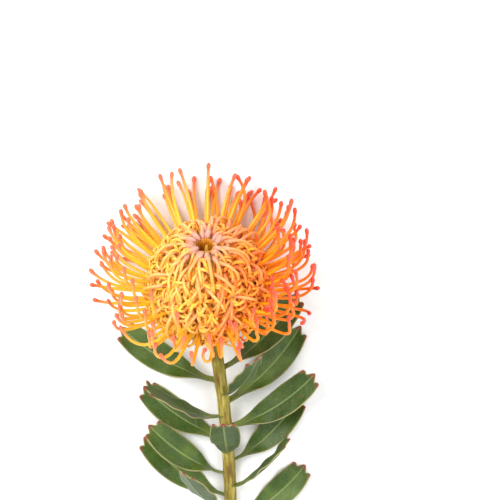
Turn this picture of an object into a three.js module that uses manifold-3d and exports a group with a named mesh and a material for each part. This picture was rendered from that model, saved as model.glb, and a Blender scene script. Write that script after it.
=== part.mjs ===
// A pincushion protea: one flower head on a cut, leafy stem, lying on a flat surface.
// Millimetres, +Z up. The surface is z = 0, the stem runs along Y and the head is at its +Y end.
// The origin is the middle of the whole part's box, at the level of the surface.
import * as THREE from "three";
import { mergeVertices } from "three/addons/utils/BufferGeometryUtils.js";
import Module from "manifold-3d";

const wasm = await Module();
wasm.setup();

// ---- driving dimensions ----------------------------------------------------------------------

// The head: a ball of florets around its centre, on an axis that rises from the stem.
const HEAD_CENTRE = new THREE.Vector3(1.85, 49.8, 42);
const HEAD_RISE = 30; // degrees of the head's axis above the surface
const HEAD_LEAN = 3; // and towards -X
const FLORETS = 290; // in one golden-angle spiral from the tip of the head to its cup
const SPIRAL_START = 8; // degrees from the axis to the first floret
const SPIRAL_END = 116; // and to the last one
const CLOSED_TO = 58; // florets closer to the axis than this are still closed,
const CLOSED_MORE_ABOVE = 38; // and this many degrees more on the side that faces up
const CLOSED_JITTER = 8;
const SPLIT_FROM = 50; // degrees from the axis: beyond this most closed florets begin to split
const STILL_WHOLE = 0.45; // the share of those that don't

// The dome that the florets stand out of: half-outline as distance from the axis and level along
// it, from the floor of the pit at its tip, out over its crown and down to its flat underside.
const DOME_OUTLINE = [
  [0, 19],
  [3.9, 19],
  [4.6, 26],
  [10, 24.5],
  [17.5, 18],
  [22, 8],
  [21.5, -1],
  [17.5, -8.5],
  [11.8, -12.2],
  [0, -12.2],
];
const DOME_SIDES = 14;
const ROOT_RADIUS = 9; // the florets' roots are this far from the head's centre
const PIT_RIM = 11.2; // degrees: no closed floret leans nearer to the axis than this

// Open florets: a free wiry style that ends in a pollen presenter, and a curled perianth segment.
const STYLE_LENGTH = 61;
const STYLE_SHORTER = 9;
const STYLE_STEPS = 28;
const STYLE_RINGS = [3, 11, 16, 19, 21, 23, 25, 27, 28]; // the steps of its path with a ring,
const STYLE_RADII = [1, 1, 1, 1, 0.95, 0.95, 0.9, 1.35, 0.5]; // and its radius at each of them
const STYLE_LIES_AT = -1; // the height of a style's middle where it lies on the surface
// How many degrees a style bends towards the axis: at least, varying, and more on each side.
const BEND = { least: 14, varies: 18, above: 44, right: 26, left: 46 };
// And in its hook: some anywhere, more on the side that faces up and on the right.
const HOOK = { loose: 40, above: 20, aboveVaries: 150, right: 120 };
const LOOSE_ABOVE = 0.4; // the share of styles whose bend is without a loose hook
const SWAY = 190; // degrees: how differently the hooks may be turned
const HOOK_FROM = 0.7; // how far along the style its hook lies at the least,
const HOOK_RANGE = 0.18; // how much further out it may be,
const HOOK_SPREAD = 0.09; // how long it is at the least,
const HOOK_LONGER = 0.09; // and how much longer it may be, all as shares of the style
const CURL_RADIUS = 0.85; // of the strand
const CURL_STEPS = 5;
const CURL_REACH = 25.5; // from the head's centre to where a curl begins to wind,
const CURL_REACH_VARIES = 7.5; // and how much farther that may be
const CURL_BOW = 4.8; // the radius of its first turn,
const CURL_BOW_VARIES = 2.6; // how much smaller that may be
const CURL_TIGHTENS = 0.35; // and the share of it that is lost by the end
const CURL_TURN = 170; // degrees that it winds at the least, and how many more it may
const CURL_STANDS = 1.6; // from its style's own direction
const CURL_LEAN = 0.5; // how far it may lean away from that, as a slope

// Closed florets: the style bows out of its perianth as a loop and ends in the perianth's limb.
const LOOP_STEPS = 24;
const LOOP_RINGS = [5, 13, 18, 22, 24]; // the steps of its path at which it has a ring
const LOOP_RADII = [1, 1, 1, 1.5, 0.7]; // and its radius there, limb included
const LOOP_TOP = 32.5; // how far its crest is from the head's centre,
const LOOP_TOP_VARIES = 2.5; // how much more that may be,
const LOOP_TOP_OUTER = 3.5; // and more again for the outermost
const LOOP_TWIST = 24; // degrees that it may be turned round the axis,
const LOOP_TWIST_OUTER = 70; // and more for the outermost
const OUTERMOST = 80; // degrees from the axis
// Between these angles from the axis the loops change to the tight ones of the flanks.
const FLANK_FROM = 28;
const FLANK_TO = 56;
const FLANK_RISE = 1.5; // a tight loop's crest is this much higher,
const FLANK_DIP = 4.5; // its limb lies this much deeper
const FLANK_UPRIGHT = 0.45; // and it leans in less, by this share

// How much of the spiral is built, spread evenly: the last KEPT of each OF florets of its kind.
const STYLES_KEPT = 1;
const STYLES_OF = 2;
const LOOPS_KEPT = 1;
const LOOPS_OF = 2;
const CURLS_KEPT = 1;
const CURLS_OF = 5;
const SPLIT_KEPT = 1;
const SPLIT_OF = 2;

// The involucre: a cup of overlapping bracts between the stem and the head.
const CUP_FOOT = -26; // along the axis
const CUP_TOP = -12.5;
const CUP_PROFILE = [
  [3.9, -26],
  [5.2, -22],
  [8.6, -17.5],
  [12.2, -14],
  [11.4, -12.5],
];
const CUP_SIDES = 12;
const BRACT_ROWS = 2;
const BRACTS_PER_ROW = 8;
const BRACT_LENGTH = 9;
const BRACT_WIDTH = 7;
const BRACT_THICKNESS = 2.2;

// The stem.
const STEM_RADIUS = 3.75;
const STEM_SIDES = 10;
const STEM_STEPS = 16;
const STEM_END = new THREE.Vector3(13.85, -110.2, STEM_RADIUS);
const NECK_PULL = 18; // how far the stem heads along the head's axis as it leaves the cup
const END_PULL = new THREE.Vector3(-0.5, 80, 2); // the way it leaves its cut end
const GAP = 0.3; // between neighbouring solids

// The leaves: a spiral down the stem, each a thick blade with a toothed tip.
const LEAVES = 14;
const FIRST_LEAF = 36; // from the cup, along the stem
const LEAF_SPACING = 7.6;
const FIRST_AZIMUTH = 332.5; // degrees round the stem from +X, up being 90
const LEAF_TURN = 137.5;
const UNDERSIDE_CLEAR = 57; // no leaf grows closer than this to straight down
const LEAF_LENGTH = 60;
const LEAF_HALF_WIDTH = 8.6;
const LEAF_THICKNESS = 0.9;
const LEAF_SPREAD = 43; // degrees between a leaf and the stem,
const LYING_SPREAD = 9; // more for one at the side, which the surface splays out
const LYING_TWIST = 0.75; // and how far such a leaf turns its face up, from 0 to 1
const LEAF_STEPS = 24;
const LEAF_ROWS = [0, 0.14, 0.32, 0.5, 0.68, 0.83, 0.95];
const LEAF_COLUMNS = [-1, -0.5, 0, 0.5, 1];
const TIP_TEETH = [0.95, 0.925, 1, 0.925, 0.95]; // how far along the leaf its last row reaches
const WIDEST_AT = 0.62;

// ---- small helpers ---------------------------------------------------------------------------

const GOLDEN_ANGLE = Math.PI * (3 - Math.sqrt(5));
const UP = new THREE.Vector3(0, 0, 1);
const rad = THREE.MathUtils.degToRad;

// A repeatable number from 0 to 1 for property k of item i.
function draw(i, k) {
  const x = Math.sin(i * 12.9898 + k * 78.233) * 43758.5453;
  return x - Math.floor(x);
}

// The head's own frame: its axis, its right, and the side of it that faces up.
const axis = new THREE.Vector3(0, Math.cos(rad(HEAD_RISE)), Math.sin(rad(HEAD_RISE)));
axis.applyAxisAngle(UP, rad(HEAD_LEAN));
const right = new THREE.Vector3().crossVectors(axis, UP).normalize();
const above = new THREE.Vector3().crossVectors(right, axis).normalize();

// The direction at angle polar from the axis, turned round it by azimuth (both in radians).
function headDirection(polar, azimuth) {
  return new THREE.Vector3()
    .addScaledVector(axis, Math.cos(polar))
    .addScaledVector(right, Math.cos(azimuth) * Math.sin(polar))
    .addScaledVector(above, Math.sin(azimuth) * Math.sin(polar));
}

function headPoint(polar, azimuth, radius) {
  return headDirection(polar, azimuth).multiplyScalar(radius).add(HEAD_CENTRE);
}

// A route whose corners are the tube's own rings, so that a tight bend can have short steps.
class Route extends THREE.Curve {
  constructor(points) {
    super();
    this.points = points;
  }
  getPoint(t, target = new THREE.Vector3()) {
    const at = t * (this.points.length - 1);
    const k = Math.min(Math.floor(at), this.points.length - 2);
    return target.lerpVectors(this.points[k], this.points[k + 1], at - k);
  }
  getPointAt(u, target) {
    return this.getPoint(u, target);
  }
  getTangentAt(u, target) {
    return this.getTangent(u, target);
  }
}

function polygon(radius, sides) {
  const corners = [];
  for (let k = 0; k < sides; k++) {
    const angle = (k / sides) * 2 * Math.PI;
    corners.push(new THREE.Vector2(radius * Math.cos(angle), radius * Math.sin(angle)));
  }
  return new THREE.Shape(corners);
}

// A closed tube with a ring at each point, of one radius or of a radius for each ring.
function tube(points, radii, sides) {
  const route = new Route(points);
  const settings = { steps: points.length - 1, extrudePath: route, bevelEnabled: false };
  const geometry = new THREE.ExtrudeGeometry(polygon(1, sides), settings);
  const place = geometry.getAttribute("position");
  const corner = new THREE.Vector3();
  for (let k = 0; k < place.count; k++) {
    corner.fromBufferAttribute(place, k);
    const away = points.map((centre) => centre.distanceToSquared(corner));
    const ring = away.indexOf(Math.min(...away));
    const radius = Array.isArray(radii) ? radii[ring] : radii;
    corner.sub(points[ring]).multiplyScalar(radius).add(points[ring]);
    place.setXYZ(k, corner.x, corner.y, corner.z);
  }
  return geometry;
}

// Points spread evenly over a smooth curve through a few control points.
function smoothPoints(controls, steps) {
  return new THREE.CatmullRomCurve3(controls).getSpacedPoints(steps);
}

// What touches the surface is pressed flat on it.
function pressOnSurface(geometry) {
  const place = geometry.getAttribute("position");
  for (let k = 0; k < place.count; k++) place.setZ(k, Math.max(place.getZ(k), 0));
  return geometry;
}

function toSolid(geometry) {
  const bare = geometry.clone();
  bare.deleteAttribute("normal");
  bare.deleteAttribute("uv");
  const merged = mergeVertices(bare, 1e-4);
  const vertProperties = new Float32Array(merged.getAttribute("position").array);
  const triVerts = new Uint32Array(merged.index.array);
  return new wasm.Manifold(new wasm.Mesh({ numProp: 3, vertProperties, triVerts }));
}

function toGeometry(solid) {
  const { vertProperties, triVerts } = solid.getMesh();
  const geometry = new THREE.BufferGeometry();
  geometry.setAttribute("position", new THREE.BufferAttribute(vertProperties, 3));
  geometry.setIndex(new THREE.BufferAttribute(triVerts, 1));
  geometry.computeVertexNormals();
  return geometry;
}

// Joins the pieces, fills any hollow that this seals and drops any loose scrap.
function fuse(geometries) {
  const joined = wasm.Manifold.union(geometries.map(toSolid));
  const bodies = joined.decompose().filter((body) => body.volume() > 0);
  bodies.sort((a, b) => b.volume() - a.volume());
  return toGeometry(bodies[0]);
}

// ---- the florets -----------------------------------------------------------------------------

function floretPlace(i) {
  const first = Math.cos(rad(SPIRAL_START));
  const last = Math.cos(rad(SPIRAL_END));
  const polar = Math.acos(first + ((i + 0.5) / FLORETS) * (last - first));
  return { polar, azimuth: i * GOLDEN_ANGLE };
}

function isClosed(i) {
  const { polar, azimuth } = floretPlace(i);
  const more = CLOSED_MORE_ABOVE * Math.max(0, Math.sin(azimuth));
  return polar < rad(CLOSED_TO + more + CLOSED_JITTER * (draw(i, 90) - 0.5));
}

function turned(direction, about, angle) {
  if (about.lengthSq() < 1e-12) return direction;
  return direction.clone().applyAxisAngle(about.clone().normalize(), angle).normalize();
}

// Most closed florets on the flanks have begun to split; the others are whole loops.
function isLooped(i) {
  return floretPlace(i).polar <= rad(SPLIT_FROM) || draw(i, 18) < STILL_WHOLE;
}

// A free style leaves along its floret's own direction, bends slowly towards the head's axis,
// may hook near its end, and lies down on the surface where it meets it.
function stylePath(i) {
  const { polar, azimuth } = floretPlace(i);
  const near = Math.max(0, Math.sin(azimuth));
  const side = Math.max(0, Math.cos(azimuth));
  const other = Math.max(0, -Math.cos(azimuth));
  const length = STYLE_LENGTH - STYLE_SHORTER * draw(i, 1) * draw(i, 17);
  const launch = polar + rad(4 * draw(i, 2));
  const heading = azimuth + rad(10) * (draw(i, 3) - 0.5);
  const sideBend = BEND.right * side ** 2 + BEND.left * other ** 2;
  const bend = rad(BEND.least + BEND.varies * draw(i, 4) + BEND.above * near + sideBend);
  const loose = HOOK.loose * Math.max(0, draw(i, 5) - LOOSE_ABOVE);
  const over = (HOOK.above + HOOK.aboveVaries * draw(i, 6)) * near;
  const hook = rad(loose + over + HOOK.right * side * draw(i, 6));
  const hookAt = HOOK_FROM + HOOK_RANGE * draw(i, 13);
  const spread = HOOK_SPREAD + HOOK_LONGER * draw(i, 14);
  const sway = rad(SWAY) * (draw(i, 15) - 0.5);
  const point = headPoint(polar, azimuth, ROOT_RADIUS);
  const points = [point.clone()];
  let direction = headDirection(launch, heading);
  for (let k = 0; k < STYLE_STEPS; k++) {
    const t = (k + 0.5) / STYLE_STEPS;
    const slow = 0.35 + 1.95 * t * t;
    const peak = Math.exp(-(((t - hookAt) / spread) ** 2)) / (spread * Math.sqrt(Math.PI));
    const about = new THREE.Vector3().crossVectors(direction, axis);
    about.applyAxisAngle(direction, sway * t * t);
    direction = turned(direction, about, (bend * slow + hook * peak) / STYLE_STEPS);
    const remaining = (1 - t) * length;
    const steepest = (-1.5 * Math.max(point.z - STYLE_LIES_AT, 0)) / (remaining + 6);
    if (direction.z < steepest) {
      direction.z = steepest;
      direction.normalize();
    }
    point.addScaledVector(direction, length / STYLE_STEPS);
    points.push(point.clone());
  }
  return points;
}

function openFloret(i) {
  const path = stylePath(i);
  const points = STYLE_RINGS.map((k) => path[k]);
  return pressOnSurface(tube(points, STYLE_RADII, 3));
}

// A perianth segment of an open floret: it rises beside the style and curls back in a spiral.
function curl(i, j) {
  const { polar, azimuth } = floretPlace(i);
  const out = headDirection(polar, azimuth);
  const across = new THREE.Vector3().crossVectors(out, axis).normalize();
  const back = new THREE.Vector3().crossVectors(across, out).normalize();
  out.addScaledVector(across, CURL_LEAN * (draw(i, 25 + j) - 0.5));
  out.addScaledVector(back, CURL_LEAN * (draw(i, 26 + j) - 0.5)).normalize();
  const facing = 2 * Math.PI * (j / 3 + draw(i, 20 + j));
  const sideways = across.clone().multiplyScalar(Math.cos(facing));
  sideways.addScaledVector(back, Math.sin(facing));
  sideways.addScaledVector(out, -out.dot(sideways)).normalize();
  const reach = CURL_REACH + CURL_REACH_VARIES * draw(i, 30 + j);
  const radius = CURL_BOW - CURL_BOW_VARIES * draw(i, 40 + j);
  const turns = rad(CURL_TURN * (1 + draw(i, 50 + j)));
  const at = (outward, aside) =>
    HEAD_CENTRE.clone().addScaledVector(out, outward).addScaledVector(sideways, aside);
  const points = [at(ROOT_RADIUS, 0), at(reach, CURL_STANDS)];
  for (let k = 1; k <= CURL_STEPS; k++) {
    const angle = (turns * k) / CURL_STEPS;
    const r = radius * (1 - (CURL_TIGHTENS * k) / CURL_STEPS);
    points.push(at(reach + r * Math.sin(angle), CURL_STANDS + radius - r * Math.cos(angle)));
  }
  return pressOnSurface(tube(points, CURL_RADIUS, 3));
}

// 0 for a floret near the tip of the head, 1 for one on its flank.
function flank(i) {
  return THREE.MathUtils.smoothstep(floretPlace(i).polar, rad(FLANK_FROM), rad(FLANK_TO));
}

// Where the limb of a closed floret lies: the outer ones lean in over the inner ones.
function limbPolar(i) {
  const spread = floretPlace(i).polar / rad(OUTERMOST);
  const upright = 1 - FLANK_UPRIGHT * flank(i);
  const lean = rad(5 + 18 * spread * (0.4 + 1.2 * draw(i, 11))) * upright;
  return Math.max(floretPlace(i).polar - lean, rad(PIT_RIM + 3 * draw(i, 12)));
}

function closedFloret(i) {
  const { polar, azimuth } = floretPlace(i);
  const spread = polar / rad(OUTERMOST);
  const twist = rad(LOOP_TWIST + LOOP_TWIST_OUTER * spread) * (draw(i, 7) - 0.5);
  const bow = rad(5 + 8 * spread + 12 * draw(i, 8));
  const low = limbPolar(i);
  const varies = (LOOP_TOP_VARIES + LOOP_TOP_OUTER * spread) * draw(i, 9);
  const top = LOOP_TOP + varies + FLANK_RISE * flank(i);
  const controls = [
    headPoint(polar, azimuth, ROOT_RADIUS),
    headPoint(polar + 0.5 * bow, azimuth + 0.2 * twist, 19),
    headPoint(polar + bow, azimuth + 0.5 * twist, 28),
    headPoint(polar + 0.62 * bow, azimuth + twist, top - 0.8),
    headPoint((polar + 0.6 * bow + low) / 2, azimuth + 0.8 * twist, top + 1),
    headPoint(low, azimuth + 0.4 * twist, top - 1.6 - FLANK_DIP * flank(i)),
  ];
  const path = smoothPoints(controls, LOOP_STEPS);
  const points = LOOP_RINGS.map((k) => path[k]);
  return tube(points, LOOP_RADII, 3);
}

function dome() {
  const profile = DOME_OUTLINE.map(([out, level]) => new THREE.Vector2(out, level)).reverse();
  return alongHead(new THREE.LatheGeometry(profile, DOME_SIDES));
}

// Turns a lathed shape, whose own axis is Y, on to the head's axis.
function alongHead(geometry) {
  const turn = new THREE.Quaternion().setFromUnitVectors(new THREE.Vector3(0, 1, 0), axis);
  const place = new THREE.Matrix4().compose(HEAD_CENTRE, turn, new THREE.Vector3(1, 1, 1));
  return geometry.applyMatrix4(place);
}

function flowerHead() {
  const pieces = [dome()];
  let open = 0;
  let looped = 0;
  let split = 0;
  for (let i = 0; i < FLORETS; i++) {
    if (isClosed(i) && isLooped(i)) {
      if (looped % LOOPS_OF >= LOOPS_OF - LOOPS_KEPT) pieces.push(closedFloret(i));
      looped += 1;
    } else if (isClosed(i)) {
      if (split % SPLIT_OF >= SPLIT_OF - SPLIT_KEPT) pieces.push(curl(i, 0));
      split += 1;
    } else {
      if (open % STYLES_OF >= STYLES_OF - STYLES_KEPT) pieces.push(openFloret(i));
      if (open % CURLS_OF >= CURLS_OF - CURLS_KEPT) pieces.push(curl(i, 0));
      open += 1;
    }
  }
  return fuse(pieces);
}

// ---- the involucre ---------------------------------------------------------------------------

function bract(row, k) {
  const shape = new THREE.Shape();
  shape.moveTo(-0.5 * BRACT_WIDTH, 0);
  shape.lineTo(0.5 * BRACT_WIDTH, 0);
  shape.quadraticCurveTo(0.5 * BRACT_WIDTH, 0.6 * BRACT_LENGTH, 0, BRACT_LENGTH);
  shape.quadraticCurveTo(-0.5 * BRACT_WIDTH, 0.6 * BRACT_LENGTH, -0.5 * BRACT_WIDTH, 0);
  const blade = new THREE.ExtrudeGeometry(shape, {
    depth: BRACT_THICKNESS,
    bevelEnabled: false,
    curveSegments: 2,
  });
  const along = row / (BRACT_ROWS - 1);
  const out = THREE.MathUtils.lerp(3.4, 8.4, along);
  const level = THREE.MathUtils.lerp(-24.5, -18.2, along);
  const lean = THREE.MathUtils.lerp(24, 44, along);
  blade.translate(0, 0, -BRACT_THICKNESS / 2);
  blade.rotateX(rad(lean));
  blade.translate(0, level, out);
  blade.rotateY(((k + 0.5 * (row % 2)) / BRACTS_PER_ROW) * 2 * Math.PI);
  return alongHead(blade);
}

function involucre() {
  const profile = [new THREE.Vector2(0, CUP_FOOT)];
  CUP_PROFILE.forEach(([out, level]) => profile.push(new THREE.Vector2(out, level)));
  profile.push(new THREE.Vector2(0, CUP_TOP));
  const pieces = [alongHead(new THREE.LatheGeometry(profile, CUP_SIDES))];
  for (let row = 0; row < BRACT_ROWS; row++) {
    for (let k = 0; k < BRACTS_PER_ROW; k++) pieces.push(bract(row, k));
  }
  return fuse(pieces);
}

// ---- the stem --------------------------------------------------------------------------------

const stemTop = HEAD_CENTRE.clone().addScaledVector(axis, CUP_FOOT - GAP);
const stemCurve = new THREE.CubicBezierCurve3(
  stemTop,
  stemTop.clone().addScaledVector(axis, -NECK_PULL),
  STEM_END.clone().add(END_PULL),
  STEM_END,
);

function stem() {
  return pressOnSurface(tube(stemCurve.getSpacedPoints(STEM_STEPS), STEM_RADIUS, STEM_SIDES));
}

// ---- the leaves ------------------------------------------------------------------------------

// A leaf's azimuth on the stem, kept clear of the side that the stem lies on.
function leafAzimuth(k) {
  const azimuth = THREE.MathUtils.euclideanModulo(FIRST_AZIMUTH - LEAF_TURN * k, 360);
  if (azimuth < 180) return azimuth;
  const fromDown = azimuth - 270;
  const eased = UNDERSIDE_CLEAR + (Math.abs(fromDown) * (90 - UNDERSIDE_CLEAR)) / 90;
  return 270 + Math.sign(fromDown) * eased;
}

// The leaf's midrib as points with the direction and the face's normal at each of them.
function leafSpine(k) {
  const reach = FIRST_LEAF + LEAF_SPACING * k;
  const at = reach / stemCurve.getLength();
  const stemWay = stemCurve.getTangentAt(at).negate();
  const stemRight = new THREE.Vector3().crossVectors(stemWay, UP).normalize();
  const stemUp = new THREE.Vector3().crossVectors(stemRight, stemWay);
  const azimuth = rad(leafAzimuth(k));
  const outward = stemRight.multiplyScalar(Math.cos(azimuth)).addScaledVector(stemUp, Math.sin(azimuth));
  const length = LEAF_LENGTH * (0.86 + 0.2 * draw(k, 101));
  const lying = 1 - Math.max(0, Math.sin(azimuth));
  const spread = LEAF_SPREAD + LYING_SPREAD * lying + 8 * (draw(k, 102) - 0.5);
  const point = stemCurve.getPointAt(at).addScaledVector(outward, STEM_RADIUS + GAP + 0.7);
  const spine = [];
  for (let s = 0; s <= LEAF_STEPS; s++) {
    const t = s / LEAF_STEPS;
    const angle = rad(spread * (1.3 - 0.55 * t));
    const way = stemWay.clone().multiplyScalar(Math.cos(angle)).addScaledVector(outward, Math.sin(angle));
    const remaining = (1 - t) * length;
    const steepest = (-1.5 * Math.max(point.z - 0.2, 0)) / (remaining + 4);
    if (way.z < steepest) {
      way.z = steepest;
      way.normalize();
    }
    const twist = LYING_TWIST * lying * THREE.MathUtils.smoothstep(t, 0.05, 0.4);
    const face = stemWay.clone().multiplyScalar(Math.sin(angle)).addScaledVector(outward, -Math.cos(angle));
    face.multiplyScalar(1 - twist).addScaledVector(UP, twist);
    face.addScaledVector(way, -face.dot(way)).normalize();
    spine.push({ point: point.clone(), way, face });
    point.addScaledVector(way, length / LEAF_STEPS);
  }
  return spine;
}

function halfWidth(t) {
  if (t < WIDEST_AT) {
    return LEAF_HALF_WIDTH * (0.26 + 0.74 * Math.sin((Math.PI / 2) * (t / WIDEST_AT)) ** 1.4);
  }
  return LEAF_HALF_WIDTH * Math.sqrt(1 - ((0.8 * (t - WIDEST_AT)) / (1 - WIDEST_AT)) ** 2);
}

// The blade's middle surface at t along the leaf and u across it, with the normal there.
function leafPlace(spine, k, t, u) {
  const at = t * LEAF_STEPS;
  const s = Math.min(Math.floor(at), LEAF_STEPS - 1);
  const point = spine[s].point.clone().lerp(spine[s + 1].point, at - s);
  const face = spine[s].face.clone().lerp(spine[s + 1].face, at - s).normalize();
  const way = spine[s].way.clone().lerp(spine[s + 1].way, at - s).normalize();
  const across = new THREE.Vector3().crossVectors(way, face);
  const half = halfWidth(Math.min(t, LEAF_ROWS[LEAF_ROWS.length - 1]));
  const channel = 0.22 * half * Math.abs(u) ** 1.5;
  const wave = 0.8 * u * Math.sin(2 * Math.PI * (1.3 * t + draw(k, 103)));
  point.addScaledVector(across, half * u).addScaledVector(face, channel + wave);
  return { point, face };
}

function leaf(k) {
  const spine = leafSpine(k);
  const rows = LEAF_ROWS.length;
  const columns = LEAF_COLUMNS.length;
  const sheet = new THREE.PlaneGeometry(1, 1, columns - 1, rows - 1);
  const position = [];
  const levels = [];
  for (let r = 0; r < rows; r++) {
    for (let c = 0; c < columns; c++) {
      const t = r === rows - 1 ? TIP_TEETH[c] : LEAF_ROWS[r];
      const { point, face } = leafPlace(spine, k, t, LEAF_COLUMNS[c]);
      const low = point.clone().addScaledVector(face, -LEAF_THICKNESS / 2);
      const high = point.clone().addScaledVector(face, LEAF_THICKNESS / 2);
      low.z = Math.max(low.z, 0);
      high.z = Math.max(high.z, Math.abs(face.z) * LEAF_THICKNESS);
      position.push(low.x, low.y, low.z);
      levels.push(high.x, high.y, high.z);
    }
  }
  position.push(...levels);
  const top = rows * columns;
  const index = [];
  const grid = sheet.index.array;
  for (let f = 0; f < grid.length; f += 3) {
    const [a, b, c] = [grid[f], grid[f + 1], grid[f + 2]];
    index.push(a, b, c, top + a, top + c, top + b);
  }
  const border = [];
  for (let c = 0; c < columns; c++) border.push(c);
  for (let r = 1; r < rows; r++) border.push(r * columns + columns - 1);
  for (let c = columns - 2; c >= 0; c--) border.push((rows - 1) * columns + c);
  for (let r = rows - 2; r > 0; r--) border.push(r * columns);
  border.forEach((a, n) => {
    const b = border[(n + 1) % border.length];
    index.push(a, b, top + b, a, top + b, top + a);
  });
  const geometry = new THREE.BufferGeometry();
  geometry.setAttribute("position", new THREE.Float32BufferAttribute(position, 3));
  geometry.setIndex(index);
  return toGeometry(toSolid(geometry));
}

// ---- the whole flower ------------------------------------------------------------------------

const orange = new THREE.MeshStandardMaterial({ color: 0xf5a524, roughness: 0.55 });
const bractGreen = new THREE.MeshStandardMaterial({ color: 0xb9c58a, roughness: 0.85 });
const stemGreen = new THREE.MeshStandardMaterial({ color: 0xa8a65a, roughness: 0.75 });
const leafGreen = new THREE.MeshStandardMaterial({ color: 0x5f8248, roughness: 0.6 });

const flower = new THREE.Group();

function add(name, geometry, material) {
  const mesh = new THREE.Mesh(geometry, material);
  mesh.name = name;
  flower.add(mesh);
}

add("flower_head", flowerHead(), orange);
add("involucre", involucre(), bractGreen);
add("stem", stem(), stemGreen);
for (let k = 0; k < LEAVES; k++) {
  add("leaf_" + String(k + 1).padStart(2, "0"), leaf(k), leafGreen);
}

export default flower;
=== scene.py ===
# %% [markdown]
# # A pincushion protea, dressed in Blender
#
# The flower is one bloom on a cut, leafy stem that lies on a table. Its solid parts come from the
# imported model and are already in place. This lesson gives each its finer form: hundreds of wiry
# florets, a woolly cup of bracts, a scarred stem and fourteen leathery leaves. Everything is
# worked out in millimetres and turned to metres when a mesh is finished.

import math

import bmesh
import bpy
import numpy as np
from mathutils import Matrix, Quaternion, Vector


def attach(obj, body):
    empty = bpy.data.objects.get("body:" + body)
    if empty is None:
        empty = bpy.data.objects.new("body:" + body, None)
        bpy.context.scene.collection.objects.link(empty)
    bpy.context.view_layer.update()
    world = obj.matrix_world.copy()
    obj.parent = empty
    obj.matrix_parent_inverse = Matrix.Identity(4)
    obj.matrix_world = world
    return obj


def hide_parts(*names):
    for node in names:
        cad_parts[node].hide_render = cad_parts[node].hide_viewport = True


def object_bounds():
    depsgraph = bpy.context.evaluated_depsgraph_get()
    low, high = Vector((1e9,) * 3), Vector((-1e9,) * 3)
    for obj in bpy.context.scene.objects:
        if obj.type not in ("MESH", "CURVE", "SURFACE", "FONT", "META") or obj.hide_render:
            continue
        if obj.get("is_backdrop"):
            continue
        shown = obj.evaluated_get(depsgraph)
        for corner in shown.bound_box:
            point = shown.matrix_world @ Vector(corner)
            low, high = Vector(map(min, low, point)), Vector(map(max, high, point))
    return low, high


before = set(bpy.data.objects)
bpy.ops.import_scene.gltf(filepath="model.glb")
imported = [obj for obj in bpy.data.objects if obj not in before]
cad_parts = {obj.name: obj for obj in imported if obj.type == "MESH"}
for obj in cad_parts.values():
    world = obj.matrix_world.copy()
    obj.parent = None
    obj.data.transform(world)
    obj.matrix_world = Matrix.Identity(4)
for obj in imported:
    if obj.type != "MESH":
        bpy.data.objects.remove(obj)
cad_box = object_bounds()
MM = 0.001
print("nodes:", len(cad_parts))

# %% [markdown]
# ## Small differences that stay the same
#
# No two florets are alike, yet the scene has to come out the same each time. With a random
# generator, taking one draw out would change all that follow. `draw(i, k)` instead works out the
# number for property k of item i from the two numbers alone.


# %% Repeatable draws
def rad(degrees):
    return math.radians(degrees)


def draw(i, k):
    x = math.sin(i * 12.9898 + k * 78.233) * 43758.5453
    return x - math.floor(x)


def share_of(x):
    return min(max(x, 0), 1)


def ease(low, high, x):
    """0 below low, 1 above high and a smooth step in between."""
    t = share_of((x - low) / (high - low))
    return t * t * (3 - 2 * t)


print("three draws:", [round(draw(i, 1), 3) for i in range(3)])

# %% [markdown]
# ## The head's own directions
#
# The bloom is a ball of florets round one centre, and its axis rises from the stem. The florets
# are placed by their angle from that axis and round it, so the script first needs the axis, the
# head's right and the side of it that faces up.

# %% The head's frame
HEAD_CENTRE = Vector((1.85, 49.8, 42))
HEAD_RISE = 30
HEAD_LEAN = 3
UP = Vector((0, 0, 1))

axis = Vector((0, math.cos(rad(HEAD_RISE)), math.sin(rad(HEAD_RISE))))
axis = Quaternion(UP, rad(HEAD_LEAN)) @ axis
right = axis.cross(UP).normalized()
above = right.cross(axis).normalized()


def head_direction(polar, azimuth):
    sideways = right * math.cos(azimuth) + above * math.sin(azimuth)
    return axis * math.cos(polar) + sideways * math.sin(polar)


def head_point(polar, azimuth, radius):
    return HEAD_CENTRE + head_direction(polar, azimuth) * radius


print("axis:", [round(x, 3) for x in axis])

# %% [markdown]
# ## The spiral of florets
#
# A protea packs its florets like the seeds of a sunflower: each one turns by the golden angle
# from the one before. The flower opens from its rim inwards, so florets near the tip of the head
# are still closed, the outer ones are open, and some in between are just splitting. More of them
# are closed on the side that faces up.

# %% The spiral
FLORETS = 290
SPIRAL_START = 8
SPIRAL_END = 116
GOLDEN_ANGLE = math.pi * (3 - math.sqrt(5))
ROOT_RADIUS = 9
CLOSED_TO = 58
CLOSED_MORE_ABOVE = 38
CLOSED_JITTER = 8
SPLIT_FROM = 50
STILL_WHOLE = 0.45


def floret_place(i):
    """A floret's angle from the head's axis and its angle round it."""
    first = math.cos(rad(SPIRAL_START))
    last = math.cos(rad(SPIRAL_END))
    return math.acos(first + (i + 0.5) / FLORETS * (last - first)), i * GOLDEN_ANGLE


def is_closed(i):
    polar, azimuth = floret_place(i)
    more = CLOSED_MORE_ABOVE * max(0, math.sin(azimuth))
    return polar < rad(CLOSED_TO + more + CLOSED_JITTER * (draw(i, 90) - 0.5))


closed = [i for i in range(FLORETS) if is_closed(i)]
opened = [i for i in range(FLORETS) if i not in closed]
splitting = [i for i in closed if floret_place(i)[0] > rad(SPLIT_FROM)]
looped = [i for i in closed if i not in splitting or draw(i, 18) < STILL_WHOLE]
print("closed:", len(closed), "of them splitting:", len(splitting), "open:", len(opened))

# %% [markdown]
# ## One straight strand, bent many times
#
# Styles, loops and curls are all round strands. One straight strand is extruded ring by ring from
# a circle and copied once for each floret, and every copy is bent: each of its rings moves to its
# own point of a path, turned to face along it and scaled to its own radius. From the second
# extrusion on, the old end face is left inside the strand and has to be deleted.


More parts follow.
